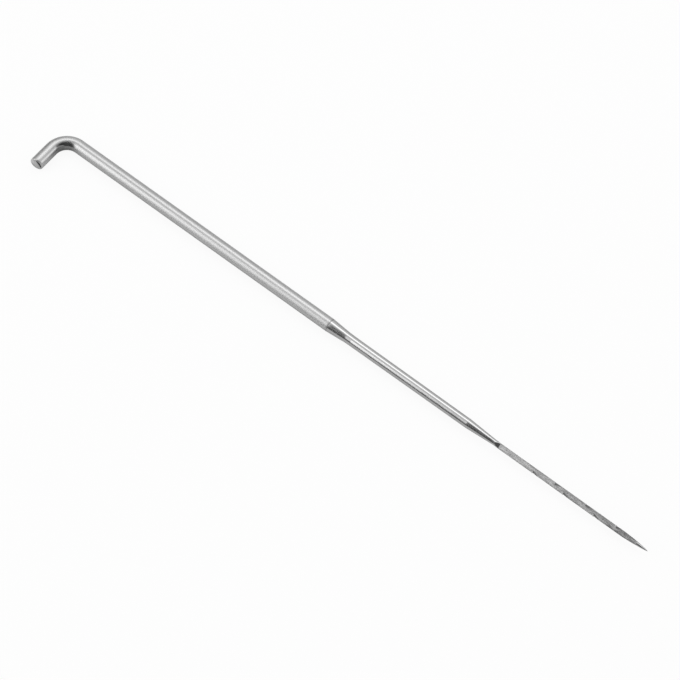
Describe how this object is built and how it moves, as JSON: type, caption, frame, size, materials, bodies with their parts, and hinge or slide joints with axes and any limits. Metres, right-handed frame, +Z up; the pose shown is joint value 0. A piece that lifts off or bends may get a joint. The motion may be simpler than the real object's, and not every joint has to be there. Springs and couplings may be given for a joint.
{
  "type": "felting needle",
  "caption": "Cranked steel felting needle with a thick shank, a slimmer middle length and a triangular barbed blade that tapers to a point.",
  "frame": {"origin": "on the shank's axis, where the straight shank leaves the bend of the crank", "axes": "+X along the shank towards the tip, -Y along the crank's leg, +Z up as the needle lies flat on a table"},
  "size_m": [0.0907, 0.0063, 0.0018],
  "materials": {
    "shank_steel": "satin, drawn lengthwise",
    "polished_steel": "polished",
    "pressed_steel": "matte, as pressed"
  },
  "bodies": {
    "root": {"crank_leg": "shank_steel", "crank_bend": "shank_steel", "shank": "shank_steel", "shank_cone": "polished_steel", "intermediate_section": "polished_steel", "blade_cone": "polished_steel", "blade": "pressed_steel", "point": "pressed_steel"}
  },
  "joints": []
}
